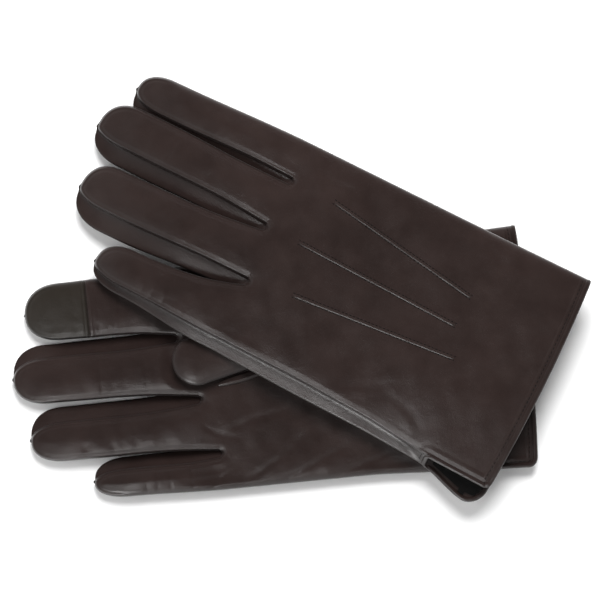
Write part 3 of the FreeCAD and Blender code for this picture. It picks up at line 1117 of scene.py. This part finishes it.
def build_quirk(side, tree):
    """The folded strip of leather on the palm, along the outer side of the thumb."""
    above = GLOVES[side]["up"] == "palm"
    ends = [thumb_place(s, w) for s, w in ((53, -15.0), (40, -16.2), (24, -17.2))]
    path = lay_on(tree, np.array([(-x, y) for x, y in ends]), 0.6, above)
    place, across, up, t = rail(path)
    size = 0.3 + 0.7 * np.sin(np.clip(t * 1.15, 0, 1) * math.pi) ** 0.6
    profile = oval(2.3, 1.9, 1.8, 18) + (0, 0.1 if above else -1.3)
    profile[:, 1] -= 0.5 * bump(profile[:, 0] - 0.3, 0.35) * (profile[:, 1] > 0)
    strip = sweep(place, across, up, profile, size)
    obj = make_object(f"{side}_quirk", *strip, MATRIX[side], LEATHER_BROWN)
    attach(obj, f"{side}_hand")
    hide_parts(f"{side}_thumb_gusset")


def build_glove(side):
    grids = glove_grids(side)
    shell = build_leather(side, grids)
    build_lining(side, grids)
    tree = BVHTree.FromPolygons(shell[0].tolist(), clean_faces(shell[1]))
    build_binding(side, shell, tree)
    build_points(side, tree)
    build_thumb(side)
    build_quirk(side, tree)
    for part in frame["nodes"][f"{side}_care_label"].material_slots:
        part.material = TAPE


# ---- floor, lights and camera ----
def add_floor():
    mesh = bpy.data.meshes.new("floor")
    half = 3.0
    corners = [(-half, -half, 0), (half, -half, 0), (half, half, 0), (-half, half, 0)]
    mesh.from_pydata(corners, [], [(0, 1, 2, 3)])
    floor = bpy.data.objects.new("floor", mesh)
    bpy.context.collection.objects.link(floor)
    material, nodes, links, shader = new_material("floor_white")
    noise = nodes.new("ShaderNodeTexNoise")
    set_inputs(noise, {"Scale": 6})
    tint(nodes, links, noise.outputs["Fac"], shader, [0.90] * 3, [0.93] * 3)
    set_inputs(shader, {"Roughness": 0.9})
    mesh.materials.append(material)


def add_area(name, place, size, power, seen_by):
    """A round lamp that looks at the middle; `seen_by` says which kind of reflection it gives."""
    light = bpy.data.lights.new(name, "AREA")
    light.shape, light.size, light.energy = "DISK", size, power
    obj = bpy.data.objects.new(name, light)
    obj.location = place
    obj.rotation_euler = (-Vector(place)).to_track_quat("-Z", "Y").to_euler()
    obj.visible_glossy = seen_by == "glossy"
    obj.visible_diffuse = seen_by == "diffuse"
    bpy.context.collection.objects.link(obj)


def add_sky():
    """Dark straight above, bright near the horizon, and brighter towards the near side."""
    world = bpy.data.worlds.new("studio")
    bpy.context.scene.world = world
    world.use_nodes = True
    nodes, links = world.node_tree.nodes, world.node_tree.links
    split = nodes.new("ShaderNodeSeparateXYZ")
    links.new(nodes.new("ShaderNodeTexCoord").outputs["Generated"], split.inputs["Vector"])
    ramp = nodes.new("ShaderNodeValToRGB")
    stops = ((0.0, 0.9), (0.35, 1.05), (0.55, 0.7), (0.75, 0.2), (1.0, 0.07))
    while len(ramp.color_ramp.elements) < len(stops):
        ramp.color_ramp.elements.new(0.5)
    for element, (place, level) in zip(ramp.color_ramp.elements, stops):
        element.position = place
        element.color = (level, level, level, 1)
    links.new(split.outputs["Z"], ramp.inputs["Fac"])
    lean = nodes.new("ShaderNodeMath")
    lean.operation = "MULTIPLY_ADD"
    links.new(split.outputs["Y"], lean.inputs[0])
    lean.inputs[1].default_value = -0.35
    lean.inputs[2].default_value = 0.85
    background = nodes["Background"]
    links.new(ramp.outputs["Color"], background.inputs["Color"])
    links.new(lean.outputs["Value"], background.inputs["Strength"])


def add_stage():
    add_floor()
    add_sky()
    add_area("key", (0.15, 0.8, 1.2), 0.8, 33, "diffuse")
    add_area("fill", (-0.9, -0.1, 1.3), 1.2, 8, "diffuse")
    add_area("softbox_high", (-0.32, -0.66, 1.0), 0.4, 5, "glossy")
    add_area("softbox_low", (-0.55, -1.25, 0.42), 0.4, 12, "glossy")


def add_camera():
    """Looks straight down, rolled so that the right glove's cuff end rises a little to the right."""
    roll = math.radians(-5.5)
    width = 302.4 * MM  # of the view, where it meets the gloves
    height = 2.4
    lens = 50.0
    camera = bpy.data.cameras.new("camera")
    camera.lens = lens
    camera.sensor_width = width / height * lens
    obj = bpy.data.objects.new("camera", camera)
    middle = MATRIX["right"] @ Vector((-111.4, 33.8, HAND_THICK))
    obj.location = (middle.x, middle.y, middle.z + height)
    obj.rotation_euler = (0, 0, roll)
    bpy.context.collection.objects.link(obj)
    bpy.context.scene.camera = obj


# ---- run ----
for glove_side in GLOVES:
    build_glove(glove_side)
add_stage()
add_camera()
bpy.context.scene.view_settings.view_transform = "Standard"
